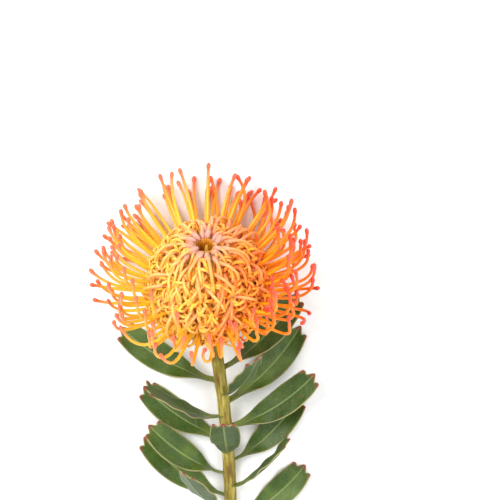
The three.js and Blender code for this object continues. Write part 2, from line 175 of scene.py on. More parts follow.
# %% A straight strand
def kept_mesh(bm):
    """Turns a bmesh into a mesh and frees it."""
    mesh = bpy.data.meshes.new("mesh")
    bm.to_mesh(mesh)
    bm.free()
    return mesh


def straight_strand(sides, rings):
    """A closed strand along Z with one ring at each whole number."""
    bm = bmesh.new()
    bmesh.ops.create_circle(bm, cap_ends=True, segments=sides, radius=1)
    end = bm.faces[:]
    for k in range(rings - 1):
        grown = bmesh.ops.extrude_face_region(bm, geom=end)["geom"]
        if k > 0:
            bmesh.ops.delete(bm, geom=end, context="FACES_ONLY")
        end = [g for g in grown if isinstance(g, bmesh.types.BMFace)]
        corners = [g for g in grown if isinstance(g, bmesh.types.BMVert)]
        bmesh.ops.translate(bm, vec=(0, 0, 1), verts=corners)
    bmesh.ops.recalc_face_normals(bm, faces=bm.faces[:])
    return kept_mesh(bm)


def coordinates(mesh):
    """The mesh's vertices as rows of an array."""
    place = np.zeros(len(mesh.vertices) * 3, np.float32)
    mesh.vertices.foreach_get("co", place)
    return place.reshape(-1, 3).astype(float)


trial = straight_strand(6, 4)
print("a strand of 4 rings has", len(trial.polygons), "faces")
bpy.data.meshes.remove(trial)


# %% Directions and points along a path
def unit(v):
    return v / np.maximum(np.linalg.norm(v, axis=-1, keepdims=True), 1e-9)


def carried_frames(paths, wide):
    """Two directions across each ring's path, turning as little as they can along it."""
    longer = np.pad(paths, ((0, 0), (1, 1), (0, 0)), mode="edge")
    tangent = unit(longer[:, 2:] - longer[:, :-2])
    across = np.zeros_like(paths)
    carried = wide
    for k in range(paths.shape[1]):
        way = tangent[:, k]
        carried = unit(carried - way * np.sum(carried * way, axis=1, keepdims=True))
        across[:, k] = carried
    return across, np.cross(tangent, across)


def as_points(vectors):
    return np.array([tuple(v) for v in vectors])


def run_of(points):
    """How far along its path each point is."""
    return np.concatenate([[0], np.cumsum(np.linalg.norm(np.diff(points, axis=0), axis=1))])


def between(at, run, points):
    """The places at these distances, straight between the points that a path has."""
    return np.stack([np.interp(at, run, points[:, c]) for c in range(3)], axis=-1)


def spaced(points, shares):
    """Points at these shares of a path."""
    return between(shares, np.linspace(0, 1, len(points)), as_points(points))


print("a third of the way:", spaced([(0, 0, 0), (0, 0, 9)], [1 / 3])[0])


# %% Finish a piece
def new_object(name, data):
    item = bpy.data.objects.new(name, data)
    bpy.context.scene.collection.objects.link(item)
    return item


def finish_mesh(name, mesh, material, replaces=()):
    """Makes the piece, shades it smooth, hangs it on the frame and prints what it has."""
    mesh.name = name
    mesh.polygons.foreach_set("use_smooth", [True] * len(mesh.polygons))
    mesh.materials.append(material)
    piece = new_object(name, mesh)
    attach(piece, "root")
    if replaces:
        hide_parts(*replaces)
    print(name, "has", len(mesh.polygons), "faces")
    return piece


# %% Copies of the strand, each bent along its path
LIES_AT = 0.85
ANY_WAY = (0.31, 0.52, 0.79)


def add_attribute(mesh, name, values):
    """Stores one number for each vertex, which a material can read."""
    layer = mesh.attributes.new(name, "FLOAT", "POINT")
    layer.data.foreach_set("value", np.asarray(values, np.float32).ravel())


def set_places(mesh, place):
    """Moves the vertices to these places in mm, none of them under the table."""
    place[..., 2] = np.maximum(place[..., 2], 0)
    mesh.vertices.foreach_set("co", (place * MM).astype(np.float32).ravel())


def copies_at(template, place, along, tone):
    """A mesh with one copy of the template for each row of places and each tone."""
    bm = bmesh.new()
    for _ in place:
        bm.from_mesh(template)
    mesh = kept_mesh(bm)
    set_places(mesh, place)
    add_attribute(mesh, "along", along)
    add_attribute(mesh, "tone", np.repeat(tone, place.shape[1]))
    mesh.update()
    return mesh


def bent_copies(template, paths, radii, wide=ANY_WAY, flat=1.0, along=None, tone=0.0):
    """A mesh with one copy of the straight strand bent along each of the paths.

    A strand that meets the table lies on it, pressed a little flat."""
    paths = np.array(paths, float)
    count, rings = paths.shape[:2]
    radii = np.broadcast_to(radii, (count, rings))
    paths[:, :, 2] = np.maximum(paths[:, :, 2], LIES_AT * radii)
    across, over = carried_frames(paths, np.broadcast_to(wide, (count, 3)))
    local = coordinates(template)
    ring = np.rint(local[:, 2]).astype(int)
    size = radii[:, ring, None]
    place = paths[:, ring] + size * local[None, :, 0, None] * across[:, ring]
    place = place + flat * size * local[None, :, 1, None] * over[:, ring]
    shares = np.broadcast_to(np.linspace(0, 1, rings) if along is None else along, (count, rings))
    return copies_at(template, place, shares[:, ring], np.broadcast_to(tone, count))


print("a strand on the table lies at", LIES_AT, "of its radius")

# %% [markdown]
# ## Colour that runs along a strand
#
# A style is greenish at its root, golden along most of its length and coral at its tip, and the
# whole bloom is yellower on one side and redder on the other. The strands carry two numbers for
# this: `along` runs from root to tip and `tone` from the yellow to the red side. A colour ramp
# reads the first, and the second mixes a yellow ramp with a red one. A fine noise in object
# space breaks the colour and gives the surface its bump, and a coarser one can add a red blush.


# %% Colours and node helpers
def colour(code):
    """A linear colour from six hexadecimal digits."""
    parts = [int(code[k : k + 2], 16) / 255 for k in (0, 2, 4)]
    linear = [c / 12.92 if c <= 0.04045 else ((c + 0.055) / 1.055) ** 2.4 for c in parts]
    return (*linear, 1)


SCATTER = (0.0020, 0.0012, 0.0006)


class Recipe:
    """A material under construction: its nodes, its shader and short ways to link them."""

    def __init__(self, name, roughness=0.5, specular=0.5, subsurface=0.0):
        self.material = bpy.data.materials.new(name)
        self.material.use_nodes = True
        self.nodes = self.material.node_tree.nodes
        self.shader = self.nodes["Principled BSDF"]
        self.fill(self.shader, {"Roughness": roughness, "Specular IOR Level": specular})
        for part, value in (("Weight", subsurface), ("Radius", SCATTER), ("Scale", 1.0)):
            self.fill(self.shader, {"Subsurface " + part: value})

    def fill(self, node, values):
        """Gives inputs their values: a socket is linked, a code is a colour, the rest is set."""
        for name, value in values.items():
            if isinstance(value, bpy.types.NodeSocket):
                self.material.node_tree.links.new(value, node.inputs[name])
            else:
                node.inputs[name].default_value = colour(value) if isinstance(value, str) else value
        return node.outputs

    def attribute(self, name, output="Fac"):
        node = self.nodes.new("ShaderNodeAttribute")
        node.attribute_name = name
        return node.outputs[output]

    def noise(self, size_mm, detail=3.0, stretch=None, grain=None):
        """Noise with patches of about this size, from 0 to 1, in space or in a grain attribute."""
        if grain:
            place = self.attribute(grain, "Vector")
        else:
            place = self.nodes.new("ShaderNodeTexCoord").outputs["Object"]
        if stretch:
            mapping = self.nodes.new("ShaderNodeMapping")
            place = self.fill(mapping, {"Scale": stretch, "Vector": place})["Vector"]
        values = {"Scale": 1 / (size_mm * MM), "Detail": detail, "Vector": place}
        return self.fill(self.nodes.new("ShaderNodeTexNoise"), values)["Fac"]

    def ramp(self, value, stops):
        node = self.nodes.new("ShaderNodeValToRGB")
        elements = node.color_ramp.elements
        elements.remove(elements[1])
        elements[0].position, elements[0].color = stops[0][0], colour(stops[0][1])
        for position, code in stops[1:]:
            elements.new(position).color = colour(code)
        return self.fill(node, {"Fac": value})["Color"]

    def span(self, value, low, high, to_low=0.0, to_high=1.0):
        ends = {"From Min": low, "From Max": high, "To Min": to_low, "To Max": to_high}
        node = self.nodes.new("ShaderNodeMapRange")
        return self.fill(node, {**ends, "Value": value})["Result"]

    def mix(self, share, first, second, blend="MIX"):
        """Mixes two colours; each may be a socket or a code, the share a socket or a number."""
        node = self.nodes.new("ShaderNodeMix")
        node.data_type = "RGBA"
        node.blend_type = blend
        return self.fill(node, {0: share, 6: first, 7: second})[2]

    def tinted(self, base, tints):
        """Lays tints over a base; each is a value, its span, the shares at its ends and a code."""
        for value, *spans, code in tints:
            base = self.mix(self.span(value, *spans), base, code)
        return base

    def bump(self, height, depth_mm):
        """Adds a bump on top of those that the shader already has."""
        values = {"Strength": 1.0, "Distance": depth_mm * MM, "Height": height}
        before = self.shader.inputs["Normal"].links
        if before:
            values["Normal"] = before[0].from_socket
        node = self.nodes.new("ShaderNodeBump")
        self.fill(self.shader, {"Normal": self.fill(node, values)["Normal"]})

    def paint(self, socket):
        self.fill(self.shader, {"Base Color": socket})


print("linear mid grey:", round(colour("808080")[0], 3))

# %% The finish of a strand
BLUSH = "f6602e"
BLUSH_MM = 5
WOOL_TINT = "f8b8a0"


def strand_finish(
    name, stops, grain_mm, roughness, subsurface=0.2, specular=0.5, wool=0.0, blush=0.0
):
    """A finish from stops, each a place, a yellow and a red; wool adds sheen and blush flecks."""
    recipe = Recipe(name, roughness, specular, subsurface)
    for part, value in (("Weight", wool), ("Roughness", 0.5), ("Tint", WOOL_TINT)):
        recipe.fill(recipe.shader, {"Sheen " + part: value})
    along, tone = recipe.attribute("along"), recipe.attribute("tone")
    sides = [recipe.ramp(along, [(stop[0], stop[side]) for stop in stops]) for side in (1, 2)]
    body = recipe.mix(tone, *sides)
    if blush:
        body = recipe.tinted(body, [(recipe.noise(BLUSH_MM, 2.0), 0.54, 0.66, 0, blush, BLUSH)])
    grain = recipe.noise(grain_mm, 2.0)
    shade = recipe.ramp(grain, [(0.3, "f0e2cc"), (0.62, "ffffff")])
    recipe.paint(recipe.mix(0.55, body, shade, "MULTIPLY"))
    recipe.bump(grain, 0.12)
    return recipe.material


print("flecks of blush:", BLUSH_MM, "mm")

# %% The bloom's tone
TONE_MIDDLE = 0.32
TONE_SIDEWAYS = 0.75
TONE_VARIES = 0.4
PIECE_VARIES = 0.3


def tone_at(polar, azimuth, i):
    """0 on the yellow side of the bloom, 1 on its red side, and a little by chance."""
    sideways = math.cos(azimuth) * math.sin(polar)
    return share_of(TONE_MIDDLE + TONE_SIDEWAYS * sideways + TONE_VARIES * (draw(i, 60) - 0.5))


def varied_tone(i, k):
    """The tone of floret i, changed a little by its draw k."""
    return share_of(tones[i] + PIECE_VARIES * (draw(i, k) - 0.5))


tones = [tone_at(*floret_place(i), i) for i in range(FLORETS)]
print("tones from", round(min(tones), 2), "to", round(max(tones), 2))

# %% [markdown]
# ## Free styles
#
# Each open floret has let go of its style, a wiry needle some 60 mm long that ends in a knob,
# the pollen presenter. On the low side the styles sweep out and curve up, and on the upper side
# they hook right over. The path is walked in small steps: at each one the direction turns a bit
# towards the head's axis, more so in the hook, and a style that comes down to the table lies on
# it.
#
# `BEND` and `HOOK` are in degrees: what every style gets, what varies, and how much is added on
# the side that faces up and on the head's right and left.


# %% The path of a style
STYLE_LENGTH = 61
STYLE_SHORTER = 9
STYLE_STEPS = 28
STYLE_LIES_AT = -1
BEND = {"least": 14, "varies": 18, "above": 44, "right": 26, "left": 46}
HOOK = {"loose": 40, "above": 20, "above_varies": 150, "right": 120}
LOOSE_ABOVE = 0.4
SWAY = 190
HOOK_FROM, HOOK_RANGE = 0.7, 0.18
HOOK_SPREAD, HOOK_LONGER = 0.09, 0.09
LANDING_SLOPE = 1.5


def landing(way, height, ahead):
    """Levels a direction out so that the path comes down to the table gently."""
    steepest = -LANDING_SLOPE * max(height, 0) / ahead
    return way if way.z >= steepest else Vector((way.x, way.y, steepest)).normalized()


def turned(direction, about, angle):
    if about.length < 1e-6:
        return direction
    return (Quaternion(about.normalized(), angle) @ direction).normalized()


def style_path(i):
    polar, azimuth = floret_place(i)
    near = max(0, math.sin(azimuth))
    side = max(0, math.cos(azimuth))
    left = max(0, -math.cos(azimuth))
    length = STYLE_LENGTH - STYLE_SHORTER * draw(i, 1) * draw(i, 17)
    direction = head_direction(polar + rad(4 * draw(i, 2)), azimuth + rad(10) * (draw(i, 3) - 0.5))
    bend = BEND["least"] + BEND["varies"] * draw(i, 4) + BEND["above"] * near
    bend = rad(bend + BEND["right"] * side**2 + BEND["left"] * left**2)
    hook = HOOK["loose"] * max(0, draw(i, 5) - LOOSE_ABOVE)
    hook += (HOOK["above"] + HOOK["above_varies"] * draw(i, 6)) * near
    hook = rad(hook + HOOK["right"] * side * draw(i, 6))
    hook_at = HOOK_FROM + HOOK_RANGE * draw(i, 13)
    spread = HOOK_SPREAD + HOOK_LONGER * draw(i, 14)
    sway = rad(SWAY) * (draw(i, 15) - 0.5)
    point = head_point(polar, azimuth, ROOT_RADIUS)
    points = [point]
    for k in range(STYLE_STEPS):
        t = (k + 0.5) / STYLE_STEPS
        slow = 0.35 + 1.95 * t * t
        peak = math.exp(-(((t - hook_at) / spread) ** 2)) / (spread * math.sqrt(math.pi))
        about = Quaternion(direction, sway * t * t) @ direction.cross(axis)
        direction = turned(direction, about, (bend * slow + hook * peak) / STYLE_STEPS)
        direction = landing(direction, point.z - STYLE_LIES_AT, (1 - t) * length + 6)
        point = point + direction * (length / STYLE_STEPS)
        points.append(point)
    return points


style_paths = {i: style_path(i) for i in opened}
print("highest style tip:", round(max(p[-1].z for p in style_paths.values()), 1), "mm")

# %% Styles with their pollen presenters
WIRE_RINGS = 12
WIRE_ENDS = (0.05, 0.935)
WIRE_SHARES = [0, 0.9, 0.935]
WIRE_RADII = [1.06, 0.86, 0.92]
KNOB_SHARES = [0.955, 0.975, 0.992, 1.0]
KNOB_RADII = [1.22, 1.3, 0.9, 0.3]
RING_TURN = 70


def bend_shares(points):
    """Shares of a path for its rings: evenly spread in length and in how much the path turns."""
    steps = unit(np.diff(as_points(points), axis=0))
    angles = np.arccos(np.clip(np.sum(steps[1:] * steps[:-1], axis=1), -1, 1))
    measure = 1 / len(steps) + np.concatenate([[0], angles]) / rad(RING_TURN)
    run = np.concatenate([[0], np.cumsum(measure)])
    at = np.linspace(0, 1, len(run))
    ends = np.interp(WIRE_ENDS, at, run)
    return np.interp(np.linspace(*ends, WIRE_RINGS), run, at)


style_shares = [[*bend_shares(style_paths[i]), *KNOB_SHARES] for i in opened]
style_radii = [
    [*np.interp(shares[:WIRE_RINGS], WIRE_SHARES, WIRE_RADII), *KNOB_RADII]
    for shares in style_shares
]
print("rings of a style:", WIRE_RINGS + len(KNOB_SHARES))

# %% The styles' gold and coral
STYLE_STOPS = [(0, "d8c032", "dca01a"), (0.22, "fdd23a", "fda414"), (0.6, "ffca32", "fc900c")]
STYLE_STOPS += [(0.82, "fcb640", "f87a16"), (0.9, "f39a58", "ee6228")]
STYLE_STOPS += [(0.95, "ea8258", "e24e2c"), (1, "e26c4a", "d43e26")]
style_finish = strand_finish("style_gold", STYLE_STOPS, 2.0, 0.34, subsurface=0.15, specular=0.42)
strand = straight_strand(6, WIRE_RINGS + len(KNOB_SHARES))
style_rings = [spaced(style_paths[i], shares) for i, shares in zip(opened, style_shares)]
style_tones = [tones[i] for i in opened]
styles = bent_copies(strand, style_rings, style_radii, along=style_shares, tone=style_tones)
finish_mesh("styles", styles, style_finish, ["flower_head"])

# %% [markdown]
# ## Curled perianth segments
#
# When a style springs free, the perianth that held it splits into narrow segments which roll
# back like wood shavings. They make the dense, woolly mass between the styles. Each is a flat
# strand: it rises beside its style, then winds inwards in a spiral. The wide side of the strand
# stays across the spiral, as in a rolled ribbon.
#
# A splitting floret has the most of them, because it has no free style yet to fill its place. The
# lowest florets also send some short curls back over the underside of the head, which would
# otherwise be bare.

# %% The path of a curl
CURL_STEPS = 6
CURL_BELOW = 9
CURL_REACH, CURL_REACH_VARIES = 25.5, 7.5
CURL_BOW, CURL_BOW_VARIES = 4.8, 2.6
CURL_TIGHTENS = 0.35
CURL_TURN = 170
CURL_STANDS = 1.6
CURL_LEAN = 0.5


def curl_path(i, j, reach, radius, under=0.0):
    """Curl j beside floret i; under turns it this much further from the head's axis."""
    polar, azimuth = floret_place(i)
    out = head_direction(polar + under, azimuth)
    across = out.cross(axis).normalized()
    back = across.cross(out).normalized()
    out = out + across * CURL_LEAN * (draw(i, 25 + j) - 0.5)
    out = (out + back * CURL_LEAN * (draw(i, 26 + j) - 0.5)).normalized()
    facing = 2 * math.pi * (j / 3 + draw(i, 20 + j))
    sideways = across * math.cos(facing) + back * math.sin(facing)
    sideways = (sideways - out * out.dot(sideways)).normalized()
    turns = rad(CURL_TURN + CURL_TURN * draw(i, 50 + j))
    low = HEAD_CENTRE + out * (reach - CURL_BELOW)
    points = [low + sideways * 0.3, HEAD_CENTRE + out * reach + sideways * CURL_STANDS]
    for k in range(1, CURL_STEPS + 1):
        angle = turns * k / CURL_STEPS
        r = radius * (1 - CURL_TIGHTENS * k / CURL_STEPS)
        outward = reach + r * math.sin(angle)
        aside = CURL_STANDS + radius - r * math.cos(angle)
        points.append(HEAD_CENTRE + out * outward + sideways * aside)
    return [tuple(p) for p in points], tuple(out.cross(sideways))


print("points on a curl:", CURL_STEPS + 2)

# %% How many curls each floret has
CURLS_OPEN = 6
CURLS_SPLITTING = 10
CURLS_CLOSED = 4
CURLS_FROM = 30
UNDER_FROM = 100
UNDER_CURLS = range(8, 11)


def curl_count(i):
    if i in style_paths:
        return CURLS_OPEN
    if i in splitting:
        return CURLS_SPLITTING
    return CURLS_CLOSED if floret_place(i)[0] > rad(CURLS_FROM) else 0


def floret_curls(i):
    """Each curl of floret i as its path, its wide direction and its tone."""
    for j in range(curl_count(i)):
        reach = CURL_REACH + CURL_REACH_VARIES * draw(i, 30 + j)
        bow = CURL_BOW - CURL_BOW_VARIES * draw(i, 40 + j)
        yield *curl_path(i, j, reach, bow), varied_tone(i, 65 + j)
    if floret_place(i)[0] > rad(UNDER_FROM):
        for j in UNDER_CURLS:
            under = rad(8 + 24 * draw(i, 35 + j))
            reach = CURL_REACH - 4 * draw(i, 30 + j)
            yield *curl_path(i, j, reach, 2.6 - draw(i, 40 + j), under), tones[i]


curl_paths, curl_wides, curl_tones = zip(*(c for i in range(FLORETS) for c in floret_curls(i)))
print("curls:", len(curl_paths))

# %% Curls
CURL_STOPS = [(0, "ffcc3e", "fda322"), (0.25, "ffd044", "fea626"), (0.5, "ffd05e", "fd9a34")]
CURL_STOPS += [(0.8, "ffcc80", "f88646"), (1, "fdbe88", "ee6c46")]
CURL_RADII = [0.7] + [0.88] * (CURL_STEPS - 1) + [0.8, 0.45]
CURL_FLAT = 0.65
curl_finish = strand_finish(
    "curl_gold", CURL_STOPS, 1.2, 0.6, subsurface=0.1, specular=0.25, wool=0.4, blush=0.4
)
strand = straight_strand(5, CURL_STEPS + 2)
curls = bent_copies(strand, curl_paths, CURL_RADII, curl_wides, CURL_FLAT, tone=curl_tones)
finish_mesh("perianth_curls", curls, curl_finish)

# %% [markdown]
# ## Closed florets
#
# In a closed floret the style is longer than the perianth that holds its tip, so it bows out in
# a loop. The perianth is a slender claw beside it, and the two meet in a pale woolly limb. The
# limbs of the innermost florets lean together round a small pit at the tip of the head. On the
# flanks the loops are tighter, like hairpins: they rise a little higher, dip deeper and lean in
# less. A few control points are enough for each loop, with a smooth curve through them.


# %% Smooth paths through a few points
CURVE_STEPS = 16


def smooth_path(controls, steps):
    """Evenly spaced points on a smooth curve through the controls, without loops at tight bends."""
    p = [controls[0] * 2 - controls[1], *controls, controls[-1] * 2 - controls[-2]]
    fine = []
    for before, start, end, after in zip(p, p[1:], p[2:], p[3:]):
        first, middle, last = (
            max((b - a).length, 1e-6) ** 0.5
            for a, b in ((before, start), (start, end), (end, after))
        )
        chord = (end - start) / middle
        leave = ((start - before) / first - (end - before) / (first + middle) + chord) * middle
        arrive = (chord - (after - start) / (middle + last) + (after - end) / last) * middle
        for k in range(CURVE_STEPS):
            t = k / CURVE_STEPS
            s = t * t * (3 - 2 * t)
            bulge = leave * (t * (1 - t) ** 2) - arrive * (t * t * (1 - t))
            fine.append(start * (1 - s) + end * s + bulge)
    fine = as_points([*fine, controls[-1]])
    run = run_of(fine)
    return between(np.linspace(0, run[-1], steps + 1), run, fine)


def head_curve(places, steps):
    """A smooth path through places given by their polar angle, azimuth and radius."""
    return smooth_path([head_point(*place) for place in places], steps)


print("steps from one control to the next:", CURVE_STEPS)

# %% The path of a loop and its claw
OUTERMOST = 80
FLANK_FROM, FLANK_TO = 28, 56
FLANK_RISE = 1.5
FLANK_DIP = 4.5
FLANK_UPRIGHT = 0.45
PIT_RIM = 11.2
LOOP_TWIST, LOOP_TWIST_OUTER = 24, 70
LOOP_TOP, LOOP_TOP_VARIES, LOOP_TOP_OUTER = 32.5, 2.5, 3.5
LIMB_BELOW_TOP = 1.6
LOOP_STEPS = 24
CLAW_STEPS = 7


def flank(i):
    """0 for a floret near the tip of the head, 1 for one on its flank, where loops are tighter."""
    return ease(rad(FLANK_FROM), rad(FLANK_TO), floret_place(i)[0])


def limb_polar(i):
    """The angle from the axis at which the limb of floret i lies."""
    polar, _ = floret_place(i)
    lean = rad(5 + 18 * polar / rad(OUTERMOST) * (0.4 + 1.2 * draw(i, 11)))
    return max(polar - lean * (1 - FLANK_UPRIGHT * flank(i)), rad(PIT_RIM + 3 * draw(i, 12)))


def closed_paths(i):
    """The loop of the style and the claw beside it."""
    polar, azimuth = floret_place(i)
    spread = polar / rad(OUTERMOST)
    twist = rad(LOOP_TWIST + LOOP_TWIST_OUTER * spread) * (draw(i, 7) - 0.5)
    bow = rad(5 + 8 * spread + 12 * draw(i, 8))
    low = limb_polar(i)
    top = LOOP_TOP + (LOOP_TOP_VARIES + LOOP_TOP_OUTER * spread) * draw(i, 9)
    top += FLANK_RISE * flank(i)
    end = top - LIMB_BELOW_TOP - FLANK_DIP * flank(i)
    loop = [
        (polar, azimuth, ROOT_RADIUS),
        (polar + 0.5 * bow, azimuth + 0.2 * twist, 19),
        (polar + bow, azimuth + 0.5 * twist, 28),
        (polar + 0.62 * bow, azimuth + twist, top - 0.8),
        ((polar + 0.6 * bow + low) / 2, azimuth + 0.8 * twist, top + 1),
        (low, azimuth + 0.4 * twist, end),
    ]
    claw = [
        (polar, azimuth, 12),
        (polar, azimuth, 19),
        (0.6 * polar + 0.4 * low, azimuth + 0.3 * twist, 27),
        (low, azimuth + 0.4 * twist, end - 0.2),
    ]
    return head_curve(loop, LOOP_STEPS), head_curve(claw, CLAW_STEPS)


pairs = {i: closed_paths(i) for i in closed}
print("longest loop:", round(max(run_of(loop)[-1] for loop, _ in pairs.values()), 1), "mm")

# %% Loops
LOOP_RINGS = [4, 8, 11, 13, 15, 17, 18.5, 20, 21.5, 23, 24]
LOOP_RADII = [0.8, 0.82, 0.85, 0.87, 0.88, 0.88, 0.88, 0.9, 0.95, 1.0, 0.8]
LOOP_SHARES = [k / LOOP_STEPS for k in LOOP_RINGS]
LOOP_STOPS = [(0, "e8b42c", "e8901a"), (0.35, "ffc83c", "fe9c1c"), (0.6, "ffc44e", "fd9028")]
LOOP_STOPS += [(0.85, "fdbc6c", "f68644"), (1, "f2b08c", "ea9878")]
loop_finish = strand_finish("loop_gold", LOOP_STOPS, 2.0, 0.32, wool=0.15)
strand = straight_strand(6, len(LOOP_RINGS))
loop_rings = [spaced(pairs[i][0], LOOP_SHARES) for i in looped]
loop_tones = [tones[i] for i in looped]
loops = bent_copies(strand, loop_rings, LOOP_RADII, along=LOOP_SHARES, tone=loop_tones)
finish_mesh("looped_styles", loops, loop_finish, ["flower_head"])

# %% Claws
CLAW_RADII = [1.1, 1.2, 1.3, 1.35, 1.3, 1.2, 1.1, 0.8]
CLAW_TILT = 5
CLAW_STOPS = [(0, "ffd044", "feb43a"), (0.6, "ffd65a", "ffb848"), (1, "ffd880", "fdb874")]
claw_finish = strand_finish(
    "claw_gold", CLAW_STOPS, 1.0, 0.7, subsurface=0.1, specular=0.2, wool=0.4
)


def open_claw(i):
    """The claw that stays beside a style that has sprung free."""
    polar, azimuth = floret_place(i)
    tilt = rad(CLAW_TILT) * (draw(i, 16) - 0.5)
    tip = (polar + 3 * tilt, azimuth, 26 + 3 * draw(i, 17))
    return head_curve([(polar, azimuth, 12), (polar + tilt, azimuth, 20), tip], CLAW_STEPS)


claw_paths = [pairs[i][1] for i in closed] + [open_claw(i) for i in opened]
claw_tones = [varied_tone(i, 64) for i in closed + opened]
claws = bent_copies(straight_strand(5, CLAW_STEPS + 1), claw_paths, CLAW_RADII, tone=claw_tones)
finish_mesh("perianth_claws", claws, claw_finish)

# %% [markdown]
# ## Limbs and their wool
#
# Each limb is a small spindle: a sphere drawn out along its own axis. The wool on it makes the
# pit look soft. Hair curves would be lost when the model is exported, so a tuft of thin
# three-sided cones is made once and set three times on each limb near the pit.


# %% Copies set in place
def placed_copies(template, matrices, tone):
    """A mesh with the template once under each matrix, in millimetres."""
    local = coordinates(template)
    m = np.array(matrices)
    place = np.einsum("nij,vj->nvi", m[:, :3, :3], local) + m[:, None, :3, 3]
    length = local[:, 2] - local[:, 2].min()
    return copies_at(template, place, np.tile(length / length.max(), len(matrices)), tone)


def pointing(way, spin=0.0):
    """A turn that takes Z to this direction, after a spin about Z."""
    return (Vector(way).to_track_quat("Z", "Y") @ Quaternion(UP, spin)).to_matrix().to_4x4()


print("up, turned to +X:", [round(x) for x in pointing((1, 0, 0)) @ UP])

# %% The limbs
LIMB_SIZE = (1.25, 1.25, 2.9)
bm = bmesh.new()
drawn_out = Matrix.Diagonal((*LIMB_SIZE, 1))
bmesh.ops.create_uvsphere(bm, u_segments=8, v_segments=6, radius=1, matrix=drawn_out)
spindle = kept_mesh(bm)

limb_matrices, limb_ends, limb_tones = [], [], []
for i in looped:
    path = pairs[i][0]
    end = Vector(path[-1])
    way = (end - Vector(path[-3])).normalized()
    middle = end - way * 1.2
    limb_ends.append((i, middle, way))
    polar = floret_place(i)[0]
    limb_tones.append(ease(rad(24), rad(46), polar))
    size = 1.15 - 0.4 * ease(rad(25), rad(50), polar)
    limb_matrices.append(Matrix.Translation(middle) @ pointing(way) @ Matrix.Scale(size, 4))

LIMB_STOPS = [(0, "e2a07c", "fab03c"), (0.45, "dca896", "fba84a"), (1, "d2948a", "f28a4c")]
limb_finish = strand_finish("limb_blush", LIMB_STOPS, 0.7, 0.85, specular=0.2, wool=0.4)
limbs = placed_copies(spindle, limb_matrices, limb_tones)
finish_mesh("perianth_limbs", limbs, limb_finish)

# %% Their wool
TUFT_HAIRS = 11
HAIR_LENGTH = 2.2
HAIR_RADIUS = 0.13
TUFT_OFFSETS = (-1.4, 0.2, 1.6)
WOOL_TO = 40
bm = bmesh.new()
cone = {"cap_ends": True, "segments": 3, "radius1": HAIR_RADIUS, "radius2": 0}
upright = Matrix.Translation((0, 0, HAIR_LENGTH / 2))
for k in range(TUFT_HAIRS):
    lean = Quaternion((1, 0, 0), math.acos(1 - 1.25 * (k + 0.5) / TUFT_HAIRS))
    turn = (Quaternion(UP, k * GOLDEN_ANGLE) @ lean).to_matrix().to_4x4()
    bmesh.ops.create_cone(bm, depth=HAIR_LENGTH, matrix=turn @ upright, **cone)
bmesh.ops.remove_doubles(bm, verts=bm.verts[:], dist=1e-5)
tuft = kept_mesh(bm)

wool_matrices, wool_tones = [], []
for i, middle, way in limb_ends:
    if floret_place(i)[0] > rad(WOOL_TO):
        continue
    for k, offset in enumerate(TUFT_OFFSETS):
        spin = 2 * math.pi * draw(i, 100 + k)
        away = Quaternion(way, spin) @ (way.orthogonal().normalized() * 0.5)
        foot = Matrix.Translation(middle + way * offset + away)
        wool_matrices.append(foot @ pointing(way * 0.5 + away, spin))
        wool_tones.append(draw(i, 110 + k))
WOOL_STOPS = [(0, "e4b49c", "dea890"), (1, "ecccc0", "e6c0b4")]
wool_finish = strand_finish("limb_wool", WOOL_STOPS, 1.0, 0.8, subsurface=0.0, specular=0.2)
wool = placed_copies(tuft, wool_matrices, wool_tones)
finish_mesh("limb_wool", wool, wool_finish)

# %% [markdown]
# ## The pit and the dome under the florets
#
# At the tip the smallest florets stand upright and form the striped brown wall of a little pit.
# Under all florets is the solid dome that carries them. It is round about the head's axis, so
# its half-outline is spun, and small bumps by chance make it uneven.

# %% The wall of the pit
PIT_FLORETS = 26
WALL_STEPS = 5
WALL_RADIUS = 0.78


def wall_path(k):
    azimuth = 2 * math.pi * k / PIT_FLORETS
    tip = (rad(9.9 + 0.8 * draw(k, 91)), azimuth, 31.2 + draw(k, 92))
    return head_curve([(rad(19), azimuth, 12), (rad(13.8), azimuth, 22), tip], WALL_STEPS)


wall_paths = [wall_path(k) for k in range(PIT_FLORETS)]
wall_tones = [draw(k, 93) for k in range(PIT_FLORETS)]
WALL_STOPS = [(0, "5c3604", "542c02"), (0.5, "a86806", "9a5606")]
WALL_STOPS += [(0.85, "cc860a", "be7408"), (1, "d89626", "ca8420")]
wall_finish = strand_finish("pit_brown", WALL_STOPS, 0.8, 0.55, subsurface=0.1)
wall = bent_copies(straight_strand(6, WALL_STEPS + 1), wall_paths, WALL_RADIUS, tone=wall_tones)
finish_mesh("pit_wall", wall, wall_finish)

# %% Round shapes on the head's axis
along_head = Matrix.Translation(HEAD_CENTRE) @ Matrix((above, right, axis)).transposed().to_4x4()
on_head = Matrix.Scale(MM, 4) @ along_head


def spun(outline, steps):
    """A closed round shape on the head's axis from its half-outline."""
    bm = bmesh.new()
    corners = [bm.verts.new((out, 0, level)) for out, level in outline]
    for a, b in zip(corners, corners[1:]):
        bm.edges.new((a, b))
    around = {"cent": (0, 0, 0), "axis": (0, 0, 1), "angle": 2 * math.pi}
    bmesh.ops.spin(bm, geom=bm.verts[:] + bm.edges[:], steps=steps, use_merge=True, **around)
    bmesh.ops.remove_doubles(bm, verts=bm.verts[:], dist=1e-4)
    bmesh.ops.recalc_face_normals(bm, faces=bm.faces[:])
    return bm


def plain_finish(name, stops, grain_mm, roughness, bump_mm):
    """A finish whose colour and bump come from one noise."""
    recipe = Recipe(name, roughness, specular=0.3, subsurface=0.1)
    grain = recipe.noise(grain_mm, 4.0)
    recipe.paint(recipe.ramp(grain, stops))
    recipe.bump(grain, bump_mm)
    return recipe.material


print("head's centre:", [round(x, 1) for x in along_head.translation], "mm")

